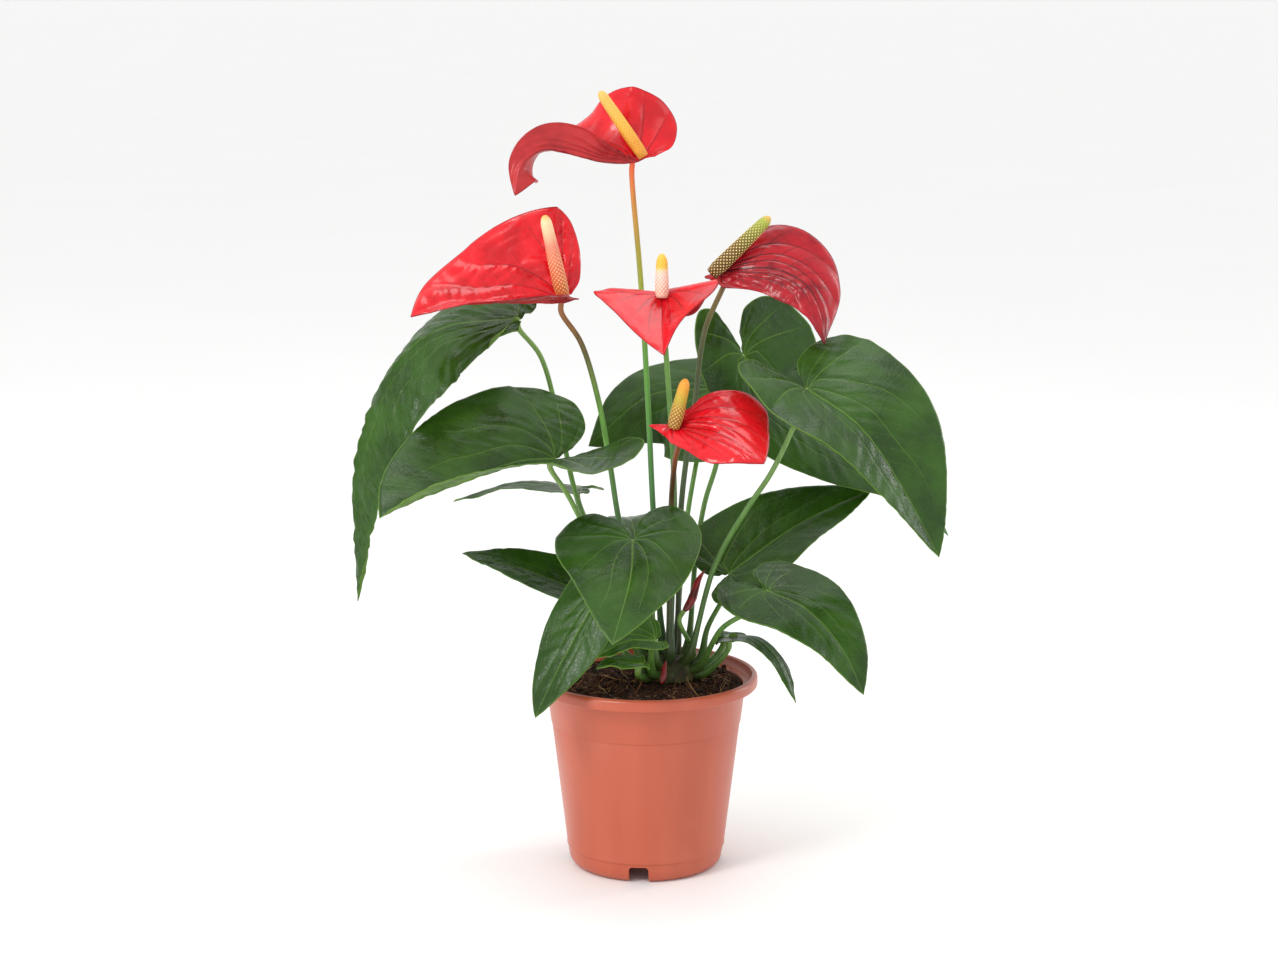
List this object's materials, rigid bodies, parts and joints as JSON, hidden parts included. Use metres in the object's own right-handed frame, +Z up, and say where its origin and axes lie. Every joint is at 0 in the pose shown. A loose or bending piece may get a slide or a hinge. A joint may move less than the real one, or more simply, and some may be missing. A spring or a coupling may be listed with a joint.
{
  "type": "potted anthurium",
  "caption": "Flowering anthurium plant with long-stalked heart-shaped leaves and red spathes, growing in a tapered plastic nursery pot with a rolled rim.",
  "frame": {"origin": "on the surface that the pot stands on, under the middle of the whole plant's bounding box", "axes": "+Z up along the plant, +X to the right and -Y towards the side that the flowers face"},
  "size_m": [0.3178, 0.1968, 0.416],
  "materials": {
    "terracotta_plastic": "semi-gloss moulded polypropylene",
    "potting_soil": "matte fibrous peat and coir",
    "crown_tissue": "matte",
    "leaf_green": "glossy leaf",
    "young_leaf": "satin leaf",
    "leaf_stalk": "satin stem",
    "flower_stalk": "satin stem",
    "red_spathe": "high-gloss waxy petal",
    "spadix": "fine beaded",
    "red_sheath": "satin"
  },
  "bodies": {
    "root": {"bud": "red_sheath", "bud_stalk": "leaf_stalk", "crown": "crown_tissue", "flower_1_spadix": "spadix", "flower_1_spathe": "red_spathe", "flower_1_stalk": "flower_stalk", "flower_2_spadix": "spadix", "flower_2_spathe": "red_spathe", "flower_2_stalk": "flower_stalk", "flower_3_spadix": "spadix", "flower_3_spathe": "red_spathe", "flower_3_stalk": "flower_stalk", "flower_4_spadix": "spadix", "flower_4_spathe": "red_spathe", "flower_4_stalk": "flower_stalk", "flower_5_spadix": "spadix", "flower_5_spathe": "red_spathe", "flower_5_stalk": "flower_stalk", "leaf_01_blade": "leaf_green", "leaf_01_stalk": "leaf_stalk", "leaf_02_blade": "leaf_green", "leaf_02_stalk": "leaf_stalk", "leaf_03_blade": "leaf_green", "leaf_03_stalk": "leaf_stalk", "leaf_04_blade": "leaf_green", "leaf_04_stalk": "leaf_stalk", "leaf_05_blade": "leaf_green", "leaf_05_stalk": "leaf_stalk", "leaf_06_blade": "leaf_green", "leaf_06_stalk": "leaf_stalk", "leaf_07_blade": "young_leaf", "leaf_07_stalk": "leaf_stalk", "leaf_08_blade": "leaf_green", "leaf_08_stalk": "leaf_stalk", "leaf_09_blade": "leaf_green", "leaf_09_stalk": "leaf_stalk", "leaf_10_blade": "leaf_green", "leaf_10_stalk": "leaf_stalk", "leaf_11_blade": "leaf_green", "leaf_11_stalk": "leaf_stalk", "leaf_12_blade": "leaf_green", "leaf_12_stalk": "leaf_stalk", "leaf_13_blade": "leaf_green", "leaf_13_stalk": "leaf_stalk", "leaf_14_blade": "young_leaf", "leaf_14_stalk": "leaf_stalk", "leaf_15_blade": "leaf_green", "leaf_15_stalk": "leaf_stalk", "leaf_16_blade": "leaf_green", "leaf_16_stalk": "leaf_stalk", "pot": "terracotta_plastic", "sheath": "red_sheath", "soil": "potting_soil"}
  },
  "joints": []
}
